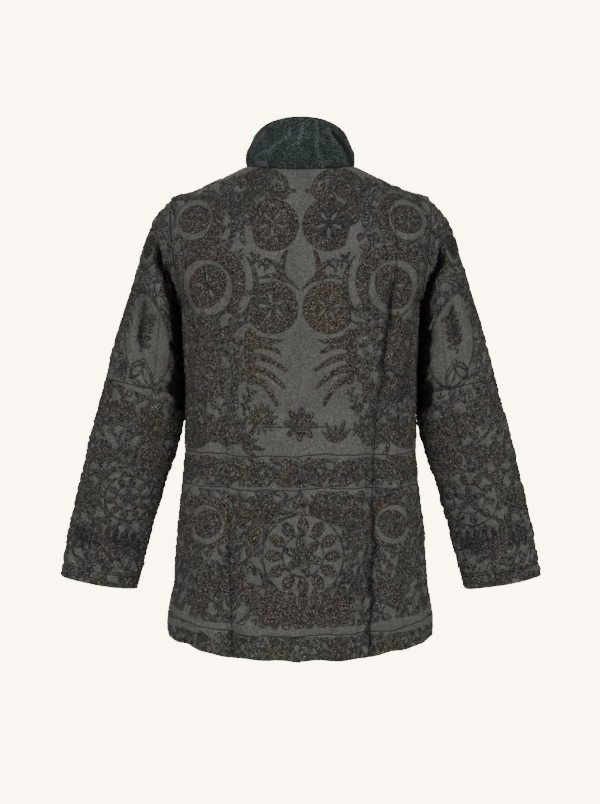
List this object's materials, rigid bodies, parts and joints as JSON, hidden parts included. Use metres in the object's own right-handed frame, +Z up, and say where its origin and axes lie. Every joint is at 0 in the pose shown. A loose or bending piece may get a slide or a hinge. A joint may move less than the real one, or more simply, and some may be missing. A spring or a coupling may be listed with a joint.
{
  "type": "coat",
  "caption": "Hip-length coat of embroidered cloth with a tall standing collar and long set-in sleeves, hollow and filled out as if worn.",
  "frame": {"origin": "middle of the neck opening, level with the points where the shoulder seams meet the collar", "axes": "+Z up, the front faces -Y, the wearer's left sleeve is on +X"},
  "size_m": [0.8196, 0.2816, 0.8634],
  "materials": {
    "embroidered_cloth": "matt cotton ground with close, slightly raised embroidery",
    "collar_pile": "matt short pile"
  },
  "bodies": {
    "root": {"back": "embroidered_cloth", "back_side_left": "embroidered_cloth", "back_side_right": "embroidered_cloth", "front_left": "embroidered_cloth", "front_right": "embroidered_cloth", "sleeve_top_left": "embroidered_cloth", "sleeve_top_right": "embroidered_cloth", "sleeve_under_left": "embroidered_cloth", "sleeve_under_right": "embroidered_cloth", "collar": "collar_pile"}
  },
  "joints": []
}
